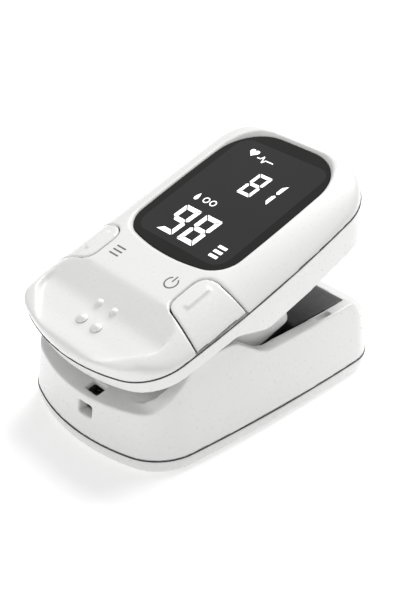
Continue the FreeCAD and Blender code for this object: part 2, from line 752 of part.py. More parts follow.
def jaw_frame():
    """Lower half of the jaw: drafted walls, press-end floor, hinge deck, ears and guide lugs."""
    low = size("rim_height") + size("jaw_gap") - 0.5
    drop = JAW_SEAM - low
    lean = size("jaw_draft")
    wall = size("jaw_wall")
    outer = case_block(JAW_CASE, low, JAW_SEAM, lean * drop, 0.0)
    inner = case_block(JAW_CASE, low, JAW_SEAM, wall + lean * drop, wall)
    frame = outer.cut(inner)
    floor_end = size("scoop_end") + 0.5
    floor = outer.common(block(-WIDE, WIDE, -LONG, floor_end, BAND, BAND + size("floor_thick")))
    deck_low = size("hinge_z") + size("spring_diameter") / 2 + size("wire") / 2 + 0.8
    deck = inner.common(block(-WIDE, WIDE, floor_end - 0.6, size("pad_start") + 0.4, deck_low, deck_low + 1))
    link = outer.common(block(-WIDE, WIDE, floor_end - 0.8, floor_end, BAND, deck_low + 1))
    frame = frame.fuse([floor, deck, link])
    reach = size("ear_radius")
    ear_outside = wall_inside(size("hinge_y") - reach, size("hinge_z") + reach) - size("ear_gap")
    frame = frame.fuse(both(jaw_ear(ear_outside, deck_low)))
    frame = frame.fuse(both(guide_lug().common(outer.fuse(block(-17, 17, -LONG, LONG, 0, low + 1)))))
    corners = jaw_profile()
    below = [(-LONG, corners[0][1], 0.0)] + corners[1:-1]
    below = below + [(LONG, corners[-1][1], 0.0), (LONG, -5, 0.0), (-LONG, -5, 0.0)]
    ring = outer.cut(case_block(JAW_CASE, low, JAW_SEAM, wall + lean * drop + 0.01, wall + 0.01))
    frame = frame.cut(side_prism(below, WIDE).common(ring))
    arch = Part.makeCylinder(12, 10, V(0, JAW_FAR - 5, JAW_SEAM - size("upper_arch") - 12.3), V(0, 1, 0))
    frame = frame.cut(arch)
    bore = Part.makeCylinder(size("axle_diameter") / 2 + size("axle_clearance"), WIDE,
                             V(-WIDE / 2, size("hinge_y"), size("hinge_z")), V(1, 0, 0))
    frame = frame.cut(bore)
    frame = frame.cut(block(-FLEX_SLOT, FLEX_SLOT, size("hinge_y") + 1.2, size("pad_start") + 1,
                            deck_low - 1, deck_low + 2))
    for x in (-JAW_SCREW_X, JAW_SCREW_X):
        hole = Part.makeCylinder(size("screw_diameter") / 2 + 0.1, 4, V(x, JAW_SCREW_Y, BAND - 1))
        head = Part.makeCylinder(size("screw_head") / 2 + 0.1, 0.7, V(x, JAW_SCREW_Y, BAND - 0.01))
        frame = frame.cut(hole).cut(head)
    return frame


FLEX_SLOT = 3.6
JAW_SCREW_X = 12.5
JAW_SCREW_Y = -22.0


def jaw_ear(outside, deck_low):
    """One ear of the jaw, rounded about the axle."""
    inside = outside - size("ear_thick")
    radius = size("ear_radius")
    y, z = size("hinge_y"), size("hinge_z")
    round_end = Part.makeCylinder(radius, size("ear_thick"), V(inside, y, z), V(1, 0, 0))
    neck = block(inside, outside, y - radius, y + radius, z, deck_low + 0.9)
    return round_end.fuse(neck)


def guide_lug():
    """A flat lug that runs inside the base wall and keeps light off the sensor."""
    outside = wall_inside(size("lug_front"), size("hump_height")) - size("ear_gap")
    inside = outside - size("lug_width")
    top = JAW_SEAM - size("band_depth") - 0.5
    base_top = size("rim_height") + size("jaw_gap")
    plate = rounded_face([
        (size("lug_front"), size("lug_bottom"), 2.5), (size("lug_back"), size("lug_bottom"), 1.0),
        (size("lug_back"), top, 0.0), (size("lug_front") - 3.0, top, 0.0),
        (size("lug_front") - 3.0, base_top + 0.5, 0.5),
    ], side_on(inside)).extrude(V(size("lug_width"), 0, 0))
    web = block(outside - 0.2, outside + 3.2, size("lug_front") + 2.6, size("lug_back"), base_top, top)
    return plate.fuse(web)


# ---------------------------------------------------------------- top cover and buttons

def crown_prism(inset, low, length=LONG):
    """The rounded cross-section of the cover, carried along the clip."""
    half = size("jaw_width") / 2 - inset
    top = JAW_SEAM + size("cover_height") - inset
    edge = JAW_SEAM + size("crown_edge")
    run = half - size("crown_flat")
    fall = top - edge
    radius = (run * run + fall * fall) / (2 * fall)
    turn = math.asin(run / radius) / 2
    bend = V(size("crown_flat") + radius * math.sin(turn), top - radius * (1 - math.cos(turn)), 0)
    place = end_on(-length)
    left = Part.Arc(place(V(-half, edge, 0)), place(V(-bend.x, bend.y, 0)), place(V(-size("crown_flat"), top, 0)))
    right = Part.Arc(place(V(size("crown_flat"), top, 0)), place(bend), place(V(half, edge, 0)))
    points = [V(half, edge, 0), V(half, low, 0), V(-half, low, 0), V(-half, edge, 0)]
    walls = [Part.LineSegment(place(points[i]), place(points[i + 1])).toShape() for i in range(3)]
    flat_top = Part.LineSegment(place(V(-size("crown_flat"), top, 0)), place(V(size("crown_flat"), top, 0)))
    wire = Part.Wire([left.toShape(), flat_top.toShape(), right.toShape()] + walls)
    return Part.Face(wire).extrude(V(0, 2 * length, 0))


def recess_tool(grow):
    """The thumb recess: a scooped region behind the lens, optionally grown for the wall below it."""
    half = size("recess_width") / 2 + grow
    back = RECESS_BACK + grow
    front = JAW_NEAR + 1.0 - grow
    top = JAW_SEAM + size("cover_height")
    floor = top - size("recess_depth") - grow
    plan = rounded_face([
        (-half, back, 4.5), (half, back, 4.5), (half + 0.4, back - 8.5, 5.0), (half - 7.5, front, 7.0),
        (-half + 7.5, front, 7.0), (-half - 0.4, back - 8.5, 5.0),
    ], flat(floor - 5)).extrude(V(0, 0, 20))
    side = side_prism([
        (back + 1.0, top + 0.6, 0.0), (back - 6.5, floor, 6.0), (front + 3.5, floor, 4.0),
        (front - 2.0, floor + 0.6, 0.0), (front - 2.0, top + 8, 0.0), (back + 1.0, top + 8, 0.0),
    ], WIDE)
    return plan.common(side)


RECESS_BACK = -13.2


def cover_solid(inset=0.0):
    """The cover before it is hollowed."""
    low = JAW_SEAM + size("seam") / 2
    high = JAW_SEAM + size("cover_height") + 1
    solid = case_block(JAW_CASE, low, high, inset, inset).common(crown_prism(inset, low - 1))
    top = JAW_SEAM + size("cover_height") - inset
    nose = side_prism([
        (JAW_NEAR + 20, top + size("nose_drop"), 0.0), (JAW_NEAR + 1.2 + inset, top - size("nose_drop"), 2.0),
        (JAW_NEAR - 0.4 + inset, JAW_SEAM + 0.6, 0.0), (JAW_NEAR - 8, JAW_SEAM + 0.6, 0.0),
        (JAW_NEAR - 8, top + 9, 0.0), (JAW_NEAR + 20, top + 9, 0.0),
    ], WIDE)
    if inset > 0:
        return solid.cut(nose)
    ends = [edge for edge in solid.Edges
            if edge.BoundBox.ZMin > JAW_SEAM + 1.5 and edge.BoundBox.YMin > JAW_FAR - 4
            and edge.BoundBox.ZMax > top - 0.01]
    return solid.makeFillet(size("cover_round"), ends).cut(nose)


def button_plan(side, grow, low, high):
    """The outline of a button seen from above, as a prism."""
    inner = size("button_inner") - grow
    outer = size("jaw_width") / 2 + 2
    back = size("button_back") + grow
    front = size("button_front") - grow
    flare = size("button_flare")
    corners = [
        (inner, back - 0.3, 3.0 + grow), (outer, back - 0.6, 0.0), (outer, front - flare, 0.0),
        (inner, front, 2.2 + grow),
    ]
    prism = rounded_face(corners, flat(low)).extrude(V(0, 0, high - low))
    return mirrored(prism) if side < 0 else prism


def button_middle():
    """Where a button's ridge and switch lie along the clip."""
    return (size("button_front") + size("button_back")) / 2 - 0.3


def button(side):
    """A button: a curved shell the shape of the cover, with a ridge on top and a stem below."""
    low = JAW_SEAM + size("button_lift")
    high = JAW_SEAM + size("cover_height") + 1
    outline = button_plan(side, 0.0, low, high)
    cap = cover_solid().common(outline)
    x = side * size("button_mark")
    y = button_middle()
    top = JAW_SEAM + size("cover_height")
    half_ridge = size("ridge_width") / 2
    bar = block(x - half_ridge, x + half_ridge, y - size("ridge_length") / 2, y + size("ridge_length") / 2,
                top - 1.5, crown_height(size("button_mark")) + size("ridge_height"))
    inside = cover_solid(size("cover_wall")).common(button_plan(side, -1.0, low - 1, high))
    stem_low = switch_top() + size("switch_gap")
    stem = Part.makeCylinder(1.3, top - 1.5 - stem_low, V(x, y, stem_low))
    return cap.cut(inside).fuse(bar).fuse(stem)


def crown_height(x):
    """Height of the cover's rounded top at a distance from the middle."""
    run = size("jaw_width") / 2 - size("crown_flat")
    fall = size("cover_height") - size("crown_edge")
    radius = (run * run + fall * fall) / (2 * fall)
    out = max(x - size("crown_flat"), 0)
    return JAW_SEAM + size("cover_height") - radius + math.sqrt(radius * radius - out * out)


def switch_top():
    """Top of the tactile switches on the main board."""
    return JAW_SEAM - size("board_drop") + size("board_thick") + 1.7


def lens_block(grow, low, high):
    """The lens outline as a prism, grown or shrunk."""
    return case_block(LENS_CASE, low, high, -grow)


LENS_TOP = JAW_SEAM + size("cover_height") - size("lens_sink")
LENS_LOW = LENS_TOP - size("lens_thick")
LEDGE_TOP = LENS_LOW - size("gasket")
LEDGE_LOW = LEDGE_TOP - size("ledge")


def top_cover():
    """Crowned cover with a seat for the lens, a thumb recess, four raised dots and two button gaps."""
    solid = cover_solid()
    low = JAW_SEAM - 1
    inside = case_block(JAW_CASE, low, JAW_SEAM + size("cover_height"), size("jaw_wall") - 0.2)
    inside = inside.common(crown_prism(size("cover_wall"), low))
    rim = lens_block(1.4, LEDGE_LOW, JAW_SEAM + 9)
    inside = inside.cut(rim).cut(recess_tool(size("cover_wall")))
    cover = solid.cut(inside)
    cover = cover.cut(recess_tool(0.0))
    cover = cover.cut(lens_block(size("fit"), LEDGE_TOP, JAW_SEAM + 9))
    bevel = Part.makeLoft([case_wire(LENS_CASE, LENS_TOP - 0.1, -size("fit")),
                           case_wire(LENS_CASE, JAW_SEAM + size("cover_height") + 0.2, -1.0)], True, True)
    cover = cover.cut(bevel)
    cover = cover.cut(lens_block(-size("ledge_width"), LEDGE_LOW - 1, LEDGE_TOP + 1))
    for side in (-1, 1):
        cover = cover.cut(button_plan(side, size("button_gap"), low, JAW_SEAM + 9))
    floor = JAW_SEAM + size("cover_height") - size("recess_depth")
    for x in (-2.0, 2.0):
        for y in (JAW_NEAR + 6.5, JAW_NEAR + 10.6):
            ball = Part.makeSphere(2.2, V(x, y, floor - 1.75))
            cover = cover.fuse(ball.common(block(x - 2, x + 2, y - 2, y + 2, floor - 0.5, floor + 1)))
    for x in (-JAW_SCREW_X, JAW_SCREW_X):
        post = Part.makeCylinder(1.9, size("cover_height") - size("recess_depth") - 0.6 + 1.8,
                                 V(x, JAW_SCREW_Y, BAND + size("floor_thick") + 0.1))
        hole = Part.makeCylinder(size("screw_diameter") / 2 + 0.05, 4, V(x, JAW_SCREW_Y, BAND))
        cover = cover.fuse(post.cut(hole)).cut(hole)
    return cover


# ---------------------------------------------------------------- upper finger pad and light source

PAD_PLATE_TOP = JAW_SEAM - 2.3


def upper_pad_frame():
    """Plate that carries the upper pad under the main board."""
    low = PAD_PLATE_TOP - size("pad_plate")
    plate = pad_outline(size("pad_narrow") / 2, size("upper_pad_width") / 2, UPPER_END, 8.5, low)
    plate = plate.extrude(V(0, 0, size("pad_plate")))
    spot = size("finger_spot")
    return plate.cut(block(-LED_BOARD / 2 - 0.1, LED_BOARD / 2 + 0.1, spot - LED_BOARD / 2 - 0.1,
                           spot + LED_BOARD / 2 + 0.1, low - 1, low + 2))


LED_BOARD = 7.0


def upper_pad():
    """Soft pad with a finger arch under the jaw."""
    top = PAD_PLATE_TOP - size("pad_plate")
    low = JAW_SEAM - size("upper_pad_drop")
    whole = pad_outline(size("pad_narrow") / 2, size("upper_pad_width") / 2 - 0.6, UPPER_END, 8.5, low)
    whole = whole.extrude(V(0, 0, top - low))
    radius = size("arch_radius")
    arch = Part.makeCylinder(radius, 2 * LONG, V(0, -LONG, JAW_SEAM - size("upper_arch") - radius), V(0, 1, 0))
    hole = Part.makeCylinder(size("window_diameter") / 2 + size("fit"), 10, V(0, size("finger_spot"), low))
    return whole.cut(arch).cut(hole)


def window(low, thick):
    """A clear disc in a finger pad."""
    return Part.makeCylinder(size("window_diameter") / 2, thick, V(0, size("finger_spot"), low))


# ---------------------------------------------------------------- build every piece

feature(base_shell(), "base_shell", BASE)
feature(bottom_tray(), "bottom_tray", BASE)
feature(battery_door(), "battery_door", BASE)
cell("battery_left", -1)
cell("battery_right", 1)
feature(contact_springs(), "contact_springs", BASE)
feature(contact_plates(), "contact_plates", BASE)
feature(bridge_contact(), "bridge_contact", BASE)
feature(lower_pad_frame(), "lower_pad_frame", BASE)
feature(lower_pad(), "lower_pad", BASE)
slab("sensor_board", BASE, "12", "8", "sizes.pad_plate - 0.1", "0", "sizes.finger_spot", "sizes.lower_plate")
slab("photodiode", BASE, "3.2", "2.8", "0.5", "0", "sizes.finger_spot",
     "sizes.lower_plate + sizes.pad_plate - 0.1")
feature(window(size("lower_plate") + size("pad_plate") + 0.45, 0.5), "sensor_window", BASE)
feature(hinge_axle(), "hinge_axle", BASE)
feature(torsion_spring(-1), "torsion_spring_left", BASE)
feature(torsion_spring(1), "torsion_spring_right", BASE)
feature(base_screws(), "base_screws", BASE)

feature(jaw_frame(), "jaw_frame", JAW)
feature(top_cover(), "top_cover", JAW)
feature(lens_block(0, LENS_LOW, LENS_TOP), "display_lens", JAW)
feature(lens_block(0, LEDGE_TOP, LENS_LOW).cut(lens_block(-size("ledge_width"), LEDGE_LOW, LENS_TOP)),
        "display_gasket", JAW)
feature(button(1), "power_button", JAW)
feature(button(-1), "mode_button", JAW)
feature(upper_pad_frame(), "upper_pad_frame", JAW)
feature(upper_pad(), "upper_pad", JAW)
LENS_MIDDLE = "(sizes.lens_near + sizes.lens_far) / 2"
BOARD_TOP = "sizes.jaw_seam - sizes.board_drop + sizes.board_thick"
slab("display_module", JAW, "sizes.module_width", "sizes.module_length", "sizes.module_thick", "0",
     LENS_MIDDLE, BOARD_TOP + " + 0.5")
slab("display_connector", JAW, "12", "3", "0.5", "0", "sizes.lens_near + 3.5", BOARD_TOP)
main_board = slab("main_board", JAW, "sizes.board_width", "sizes.board_far - sizes.board_near",
                  "sizes.board_thick", "0", "(sizes.board_near + sizes.board_far) / 2",
                  "sizes.jaw_seam - sizes.board_drop")
slab("processor", JAW, "7", "7", "1", "-8", "2", "sizes.jaw_seam - sizes.board_drop - 1")
slab("flex_connector", JAW, "6.6", "2.4", "0.9", "0", "sizes.board_near + 3.1",
     "sizes.jaw_seam - sizes.board_drop - 0.9")
for side, name in ((1, "power_switch"), (-1, "mode_switch")):
    place = "%d * sizes.button_mark" % side
    middle = "(sizes.button_front + sizes.button_back) / 2 - 0.3"
    switch = slab(name, JAW, "sizes.switch_size", "sizes.switch_size", "1.3", place, middle, BOARD_TOP)
    plunger = sketch_on(switch, "XY_Plane", name + "_plunger", BOARD_TOP + " + 1.3")
    circle(plunger, "1.8", place, middle)
    pad(switch, plunger, "0.4")
slab("emitter_board", JAW, str(LED_BOARD), str(LED_BOARD), "sizes.pad_plate - 0.1", "0", "sizes.finger_spot",
     "sizes.jaw_seam - 2.3 - sizes.pad_plate")
slab("emitter", JAW, "2.6", "2.2", "0.6", "0", "sizes.finger_spot",
     "sizes.jaw_seam - 2.3 - sizes.pad_plate - 0.6")
feature(window(JAW_SEAM - 4.1, 0.5), "emitter_window", JAW)


def buzzer():
    """A round sounder on the floor of the press end, with its sound hole."""
    low = BAND + size("floor_thick") + 0.05
    disc = Part.makeCylinder(size("buzzer_diameter") / 2, size("buzzer_thick"), V(0, BUZZER_Y, low))
    return disc.cut(Part.makeCylinder(0.7, 1, V(0, BUZZER_Y, low + size("buzzer_thick") - 0.6)))


BUZZER_Y = -23.1


def jaw_screws():
    """Two screws that hold the jaw frame to the cover."""
    screws = []
    for x in (-JAW_SCREW_X, JAW_SCREW_X):
        head = Part.makeCylinder(size("screw_head") / 2, 0.55, V(x, JAW_SCREW_Y, BAND + 0.1))
        shaft = Part.makeCylinder(size("screw_diameter") / 2, 3.2, V(x, JAW_SCREW_Y, BAND + 0.1))
        slot = block(x - 0.9, x + 0.9, JAW_SCREW_Y - 0.15, JAW_SCREW_Y + 0.15, BAND, BAND + 0.35)
        screws.append(head.fuse(shaft).cut(slot))
    return Part.Compound(screws)


def jaw_flex():
    """Flat ribbon from the sensor board, past the axle, to the connector under the main board."""
    angle = math.radians(size("open_angle"))
    y, z = size("hinge_y"), size("hinge_z")

    def turned(a, b):
        dy, dz = a - y, b - z
        return (y + dy * math.cos(angle) - dz * math.sin(angle), z + dy * math.sin(angle) + dz * math.cos(angle))

    thick = 0.15
    start = size("pad_start")
    low = size("lower_plate") - 0.2
    end = turned(size("board_near") + 3.0, JAW_SEAM - size("board_drop") - 1.4)
    route = [(start + 1.5, low - thick), (start - 1.6, low - thick), (y + 3.0, z - 1.0), (y + 2.6, z + 3.0), end]
    top = [(a + thick * 0.9, b + thick) for a, b in reversed(route)]
    corners = [(a, b, 0.0) for a, b in route] + [(a, b, 0.0) for a, b in top]
    return rounded_face(corners, side_on(-2.5)).extrude(V(5, 0, 0))


feature(buzzer(), "buzzer", JAW)
feature(jaw_screws(), "jaw_screws", JAW)
feature(jaw_flex(), "jaw_flex", BASE)

doc.recompute()
opening = FreeCAD.Placement(V(0, 0, 0), FreeCAD.Rotation(V(1, 0, 0), size("open_angle")),
                            V(0, size("hinge_y"), size("hinge_z")))
for piece in JAW:
    piece.Placement = opening
doc.recompute()

for item in doc.Objects:
    if "Invalid" in item.State or "Error" in item.State:
        raise RuntimeError("%s failed: %s" % (item.Label, item.State))

os.makedirs("parts", exist_ok=True)
for piece in BASE + JAW:
    if piece.Shape.isNull() or not piece.Shape.isValid():
        raise RuntimeError(piece.Label + " has no valid shape")
    piece.Shape.exportStep("parts/%s.step" % piece.Label)
    print("%-22s solids %d  volume %8.1f mm3" % (piece.Label, len(piece.Shape.Solids), piece.Shape.Volume))
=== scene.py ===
# %% [markdown]
# # A fingertip pulse oximeter
# The clip is two moulded shells on one hinge pin, sprung shut on a finger. This lesson starts from the
# solid model of the clip, softens its moulded shells, prints the display and the small marks, gives every
# piece its own finish, and sets up a table with studio light.

# %% Load the solid model
import json
import math

import bmesh
import bpy
from mathutils import Matrix, Vector


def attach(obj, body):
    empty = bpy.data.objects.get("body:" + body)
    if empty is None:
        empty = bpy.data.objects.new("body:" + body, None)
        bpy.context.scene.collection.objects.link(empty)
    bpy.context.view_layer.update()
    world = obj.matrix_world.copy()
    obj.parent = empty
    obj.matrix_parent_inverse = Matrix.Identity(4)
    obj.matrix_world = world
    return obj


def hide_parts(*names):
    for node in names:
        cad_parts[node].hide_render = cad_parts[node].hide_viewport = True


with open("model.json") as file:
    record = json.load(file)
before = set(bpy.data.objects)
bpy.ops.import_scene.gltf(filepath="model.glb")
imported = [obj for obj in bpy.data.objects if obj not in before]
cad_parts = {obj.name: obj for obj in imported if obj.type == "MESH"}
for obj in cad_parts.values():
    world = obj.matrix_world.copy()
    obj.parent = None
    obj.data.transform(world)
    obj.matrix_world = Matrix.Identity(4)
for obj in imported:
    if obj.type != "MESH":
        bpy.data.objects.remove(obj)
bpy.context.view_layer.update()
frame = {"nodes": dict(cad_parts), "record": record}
nodes = frame["nodes"]
print("pieces in the solid model:", len(nodes))

# %% [markdown]
# ## Size, hinge and the opened jaw
# The sizes below are in millimetres, because the maker's drawing is. The upper jaw is drawn closed, and
# then turned open about the hinge pin. One matrix does that turn, so a printed mark can be laid out flat
# and still land on the tilted cover.

# %% The turn of the open jaw
MM = 0.001
OPEN_ANGLE = math.radians(18.6)
HINGE = Vector((0, -14.5, 17.5)) * MM
opened = Matrix.Translation(HINGE) @ Matrix.Rotation(OPEN_ANGLE, 4, "X") @ Matrix.Translation(-HINGE)
closed = opened.inverted()
SEAM = 23.3
LENS_TOP = SEAM + 3.7
COVER_TOP = SEAM + 4.5
print("the jaw stands open by", round(math.degrees(OPEN_ANGLE), 1), "degrees")

# %% [markdown]
# ## The camera
# A product shot looks down on the press end from one corner. A long lens keeps the two shells from
# spreading apart. The camera is placed by its heading and height angle about a point inside the clip, and
# its own axes fill the rotation matrix, so nothing has to be aimed by hand.

# %% Place the camera
HEADING = math.radians(48.557)
HEIGHT = math.radians(31.244)
DISTANCE = 196.73 * MM
AIM = Vector((0.046, 0.0, 16.819)) * MM
LENS_LENGTH, SENSOR_WIDTH, NEAREST_SEEN = 64.09, 36.0, 0.01
back = Vector((math.sin(HEADING) * math.cos(HEIGHT), -math.cos(HEADING) * math.cos(HEIGHT), math.sin(HEIGHT)))
right = Vector((math.cos(HEADING), math.sin(HEADING), 0))
up = back.cross(right)
camera_data = bpy.data.cameras.new("camera")
camera_data.lens = LENS_LENGTH
camera_data.sensor_width = SENSOR_WIDTH
camera_data.clip_start = NEAREST_SEEN
camera = bpy.data.objects.new("camera", camera_data)
bpy.context.scene.collection.objects.link(camera)
turn = Matrix((right, up, back)).transposed().to_4x4()
camera.matrix_world = Matrix.Translation(AIM + back * DISTANCE) @ turn
bpy.context.scene.camera = camera
print("camera at", [round(v, 4) for v in camera.matrix_world.translation])

# %% [markdown]
# ## Floor and light
# White plastic on a white table only reads when the light has a direction. One wide lamp hangs above and
# behind, so the tops are brightest and whatever tips towards the press end falls into a soft grey. Two weak
# lamps and a pale sky keep the shade open. No lamp stands where the flat lens would mirror it.

# %% The floor
def mesh_object(name, verts, faces):
    """A piece from plain lists of corners and faces."""
    mesh = bpy.data.meshes.new(name)
    mesh.from_pydata([tuple(v) for v in verts], [], faces)
    mesh.update()
    piece = bpy.data.objects.new(name, mesh)
    bpy.context.scene.collection.objects.link(piece)
    return piece


FLOOR_HALF = 1.5
SQUARE = ((-1, -1), (1, -1), (1, 1), (-1, 1))
floor = mesh_object("floor", [(x * FLOOR_HALF, y * FLOOR_HALF, 0) for x, y in SQUARE], [(0, 1, 2, 3)])
print("floor:", 2 * FLOOR_HALF, "metres square")

# %% The lamps and the sky
def lamp(name, place, size, power):
    """A square soft lamp that faces the clip."""
    data = bpy.data.lights.new(name, "AREA")
    data.shape = "SQUARE"
    data.size = size
    data.energy = power
    light = bpy.data.objects.new(name, data)
    light.location = place
    light.rotation_euler = (AIM - Vector(place)).to_track_quat("-Z", "Y").to_euler()
    bpy.context.scene.collection.objects.link(light)


# name, place and side in metres, power in watts
LAMPS = (("key_lamp", (-0.05, 0.25, 0.43), 0.34, 2.5),
         ("front_lamp", (-0.12, -0.45, 0.22), 0.30, 0.50),
         ("side_lamp", (0.45, -0.02, 0.20), 0.26, 0.08))
for row in LAMPS:
    lamp(*row)
# the plain transform, so that white plastic isn't greyed
bpy.context.scene.view_settings.view_transform = "Standard"
FULL_WHITE = (1.0, 1.0, 1.0, 1.0)
SKY_STRENGTH = 0.42
sky = bpy.data.worlds.new("pale_sky")
sky.use_nodes = True
sky.node_tree.nodes["Background"].inputs["Color"].default_value = FULL_WHITE
sky.node_tree.nodes["Background"].inputs["Strength"].default_value = SKY_STRENGTH
bpy.context.scene.world = sky
print("lamps:", len(LAMPS))

# %% [markdown]
# ## One recipe for a finish
# A moulded or printed surface is never one flat colour. The recipe mixes two near colours with a broad
# noise, lets the roughness wander between two values, and adds a fine grain as bump. The noise is laid out
# in object space, which is in metres, so a scale of 1000 gives grains of about a millimetre.
# Values that are the same all over the surface go straight on the shader.

# %% A finish from two colours, two roughnesses and a grain
BROAD_DETAIL, GRAIN_DETAIL = 3.0, 4.0
NOISE_LOW, NOISE_HIGH = 0.3, 0.7
GRAIN_DEPTH = 0.02 * MM


def finish(name, colour, other, rough, grain, bump, broad=90.0, **fixed):
    """A procedural finish: colours wander broadly, roughness and bump follow a fine grain."""
    material = bpy.data.materials.new(name)
    material.use_nodes = True
    tree = material.node_tree
    shader = tree.nodes["Principled BSDF"]
    place = tree.nodes.new("ShaderNodeTexCoord")

    def noise(scale, detail):
        node = tree.nodes.new("ShaderNodeTexNoise")
        node.inputs["Scale"].default_value = scale
        node.inputs["Detail"].default_value = detail
        tree.links.new(place.outputs["Object"], node.inputs["Vector"])
        return node

    wide, fine = noise(broad, BROAD_DETAIL), noise(grain, GRAIN_DETAIL)
    tint = tree.nodes.new("ShaderNodeMix")
    tint.data_type = "RGBA"
    tint.inputs["A"].default_value = (*colour, 1.0)
    tint.inputs["B"].default_value = (*other, 1.0)
    tree.links.new(wide.outputs["Fac"], tint.inputs["Factor"])
    tree.links.new(tint.outputs["Result"], shader.inputs["Base Color"])
    spread = tree.nodes.new("ShaderNodeMapRange")
    spread.inputs["From Min"].default_value = NOISE_LOW
    spread.inputs["From Max"].default_value = NOISE_HIGH
    spread.inputs["To Min"].default_value = rough[0]
    spread.inputs["To Max"].default_value = rough[1]
    tree.links.new(fine.outputs["Fac"], spread.inputs["Value"])
    tree.links.new(spread.outputs["Result"], shader.inputs["Roughness"])
    grainy = tree.nodes.new("ShaderNodeBump")
    grainy.inputs["Strength"].default_value = bump
    grainy.inputs["Distance"].default_value = GRAIN_DEPTH
    tree.links.new(fine.outputs["Fac"], grainy.inputs["Height"])
    tree.links.new(grainy.outputs["Normal"], shader.inputs["Normal"])
    for socket, value in fixed.items():
        shader.inputs[socket.replace("_", " ")].default_value = value
    return material


def give_glow(material, strength):
    """Let a finish give off some white light of its own."""
    shader = material.node_tree.nodes["Principled BSDF"]
    shader.inputs["Emission Color"].default_value = FULL_WHITE
    shader.inputs["Emission Strength"].default_value = strength


# %% [markdown]
# ## The finishes of the clip
# The shells are white ABS with a soft sheen. The lens is smoked acrylic, polished. The pads are matt
# silicone. Inside there are sleeves, boards, chips and springs, each with a finish of its own. The table gives
# off a little light, so that it stays as white as a studio sweep.

# %% Name the finishes
WHITE, WHITE_WARM = (0.80, 0.80, 0.795), (0.77, 0.77, 0.76)
finishes = {
    "white_shell": finish("white_shell", WHITE, WHITE_WARM, (0.26, 0.34), 1500.0, 0.03,
                          Coat_Weight=0.12, Coat_Roughness=0.12),
    "white_button": finish("white_button", WHITE, WHITE_WARM, (0.22, 0.30), 1500.0, 0.03,
                           Coat_Weight=0.15, Coat_Roughness=0.10),
    "cell_sleeve": finish("cell_sleeve", (0.05, 0.06, 0.09), (0.07, 0.08, 0.10), (0.25, 0.4), 900.0, 0.1),
    "spring_steel": finish("spring_steel", (0.55, 0.55, 0.56), (0.45, 0.45, 0.47), (0.22, 0.38), 2500.0, 0.3,
                           Metallic=1.0),
    "contact_metal": finish("contact_metal", (0.75, 0.74, 0.70), (0.66, 0.65, 0.61), (0.15, 0.3), 1500.0, 0.2,
                            Metallic=1.0),
    "black_plastic": finish("black_plastic", (0.022, 0.022, 0.023), (0.032, 0.032, 0.033), (0.42, 0.58),
                            1400.0, 0.4),
    "silicone": finish("silicone", (0.030, 0.030, 0.032), (0.045, 0.045, 0.047), (0.50, 0.66), 2200.0, 0.5,
                       Sheen_Weight=0.15),
    "circuit_board": finish("circuit_board", (0.01, 0.12, 0.06), (0.02, 0.17, 0.08), (0.3, 0.45), 700.0, 0.4),
    "chip": finish("chip", (0.02, 0.02, 0.022), (0.035, 0.035, 0.038), (0.4, 0.6), 3000.0, 0.4),
    "cream_plastic": finish("cream_plastic", (0.70, 0.64, 0.52), (0.76, 0.70, 0.58), (0.4, 0.55),
                            1200.0, 0.2),
    "clear_window": finish("clear_window", (0.55, 0.16, 0.14), (0.62, 0.22, 0.18), (0.04, 0.10), 800.0, 0.05,
                           Coat_Weight=0.5),
    "flex_film": finish("flex_film", (0.45, 0.19, 0.04), (0.55, 0.25, 0.06), (0.25, 0.4), 900.0, 0.2),
    "display_lens": finish("display_lens", (0.010, 0.010, 0.0098), (0.013, 0.013, 0.0125), (0.06, 0.09),
                           300.0, 0.01, Specular_IOR_Level=0.35),
    "display_frame": finish("display_frame", (0.023, 0.023, 0.023), (0.026, 0.026, 0.026), (0.06, 0.09),
                            300.0, 0.01, Specular_IOR_Level=0.35),
}
slot_of = {row["node"]: row["material_slot"] for row in frame["record"]["subparts"]}
for name, node in nodes.items():
    for spot in node.material_slots:
        spot.material = finishes[slot_of[name]]
TABLE_GLOW = 0.3
table = finish("table", (0.94, 0.94, 0.94), (0.92, 0.92, 0.92), (0.6, 0.7), 60.0, 0.02, 4.0)
give_glow(table, TABLE_GLOW)
floor.data.materials.append(table)
print("finishes:", len(finishes))

# %% [markdown]
# ## Softening the moulded shells
# A moulding has no knife edges: the plastic shrinks and the tool is polished, so every corner is eased.
# The shells come from the drawing with sharp corners. A fine voxel remesh gives each a skin of small even
# faces, and a few smoothing passes ease the corners while the broad faces stay put. Each shell is first
# laid flat, because the voxels follow the axes and a tilted top would show their steps.

# %% A long easing for one region
LONG_EASING = 70
EASE_FACTOR = 0.5
BUTTONS_PAST_X, BUTTONS_PAST_Y = 9.5, -17.5
EASED_ABOVE_SEAM, FADE_UP = 0.9, 1.0
PRESS_END_FROM, FADE_ALONG = -11.5, 2.5


def eased_where(mesh, share):
    """Smooth a mesh many times, but only as far as share says at each point."""
    rough = bpy.data.objects.new("region_rough", mesh)
    bpy.context.scene.collection.objects.link(rough)
    region = rough.vertex_groups.new(name="region")
    for v in mesh.vertices:
        weight = share(v.co / MM)
        if weight > 0:
            region.add([v.index], weight, "REPLACE")
    ease = rough.modifiers.new("long_ease", "SMOOTH")
    ease.factor = EASE_FACTOR
    ease.iterations = LONG_EASING
    ease.vertex_group = "region"
    bpy.context.view_layer.update()
    graph = bpy.context.evaluated_depsgraph_get()
    result = bpy.data.meshes.new_from_object(rough.evaluated_get(graph))
    bpy.data.objects.remove(rough)
    return result


